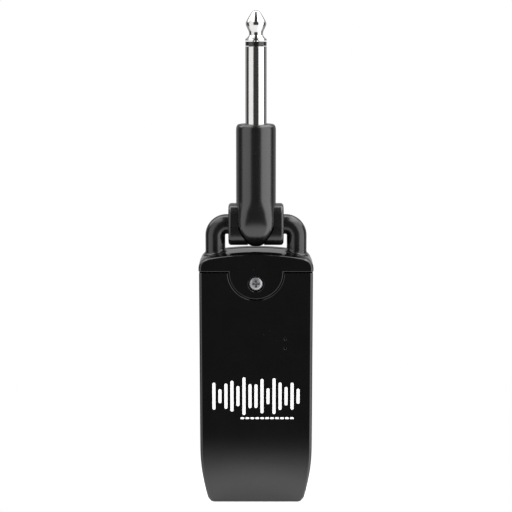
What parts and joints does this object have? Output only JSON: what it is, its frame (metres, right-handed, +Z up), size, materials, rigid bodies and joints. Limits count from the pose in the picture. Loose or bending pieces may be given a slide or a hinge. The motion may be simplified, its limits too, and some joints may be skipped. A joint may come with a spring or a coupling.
{
  "type": "plug-in wireless guitar unit",
  "caption": "Slim glossy black wireless audio unit with a quarter-inch jack plug on a tilting knuckle held by a U-shaped bracket; side buttons and a charging socket in the base.",
  "frame": {"origin": "centre of the footprint on the ground, under the middle of the housing's width and depth", "axes": "+Z up along the housing and the plug at rest, front face towards -Y, +X to the right seen from the front"},
  "size_m": [0.0344, 0.017, 0.1496],
  "materials": {
    "gloss_black": "high gloss",
    "satin_black": "semi gloss",
    "plug_metal": "polished nickel",
    "ring_black": "satin",
    "screw_steel": "blackened steel",
    "natural_nylon": "natural",
    "board_green": "solder mask",
    "chip_black": "moulded epoxy",
    "can_steel": "tinned",
    "cell_foil": "laminated foil",
    "foam_grey": "foam",
    "clear_pipe": "clear",
    "lead_red": "insulated wire",
    "lead_black": "insulated wire",
    "ceramic": "matte"
  },
  "bodies": {
    "housing": {"front_shell": "gloss_black", "rear_cover": "gloss_black", "top_cap": "gloss_black", "cap_screw": "screw_steel", "u_bracket": "gloss_black", "bracket_clip_left": "screw_steel", "bracket_clip_right": "screw_steel", "tip_lead": "lead_red", "sleeve_lead": "lead_black", "left_switch_body": "chip_black", "right_switch_body": "chip_black", "circuit_board": "board_green", "board_screw_left_lower": "screw_steel", "board_screw_left_upper": "screw_steel", "board_screw_right_lower": "screw_steel", "board_screw_right_upper": "screw_steel", "radio_shield": "can_steel", "chip_antenna": "ceramic", "audio_chip": "chip_black", "control_chip": "chip_black", "charge_inductor": "chip_black", "quartz_crystal": "can_steel", "status_led_upper": "ceramic", "status_led_lower": "ceramic", "light_pipe_upper": "clear_pipe", "light_pipe_lower": "clear_pipe", "charge_socket": "can_steel", "charge_socket_blade": "chip_black", "cell_pad": "foam_grey", "battery_cell": "cell_foil", "battery_lead_red": "lead_red", "battery_lead_black": "lead_black"},
    "plug": {"plug_barrel": "gloss_black", "knuckle_closure_left": "satin_black", "knuckle_closure_right": "satin_black", "friction_bush_left": "natural_nylon", "friction_bush_right": "natural_nylon", "plug_sleeve": "plug_metal", "plug_insulator": "ring_black", "plug_tip": "plug_metal", "tip_tag": "screw_steel", "sleeve_tag": "screw_steel", "plug_tail_tip": "lead_red", "plug_tail_sleeve": "lead_black"},
    "button_left": {"left_button": "gloss_black", "left_switch_plunger": "natural_nylon"},
    "button_right": {"right_button": "gloss_black", "right_switch_plunger": "natural_nylon"}
  },
  "joints": [
    {"name": "plug_tilt", "type": "hinge", "parent": "housing", "child": "plug", "pos_m": [0, -0.001, 0.0861], "axis": [1, 0, 0], "range_deg": [-100, 100]},
    {"name": "left_button_press", "type": "slide", "parent": "housing", "child": "button_left", "axis": [1, 0, 0], "range_m": [0, 0.0003], "stiffness_N_per_m": 3000},
    {"name": "right_button_press", "type": "slide", "parent": "housing", "child": "button_right", "axis": [-1, 0, 0], "range_m": [0, 0.0003], "stiffness_N_per_m": 3000}
  ]
}
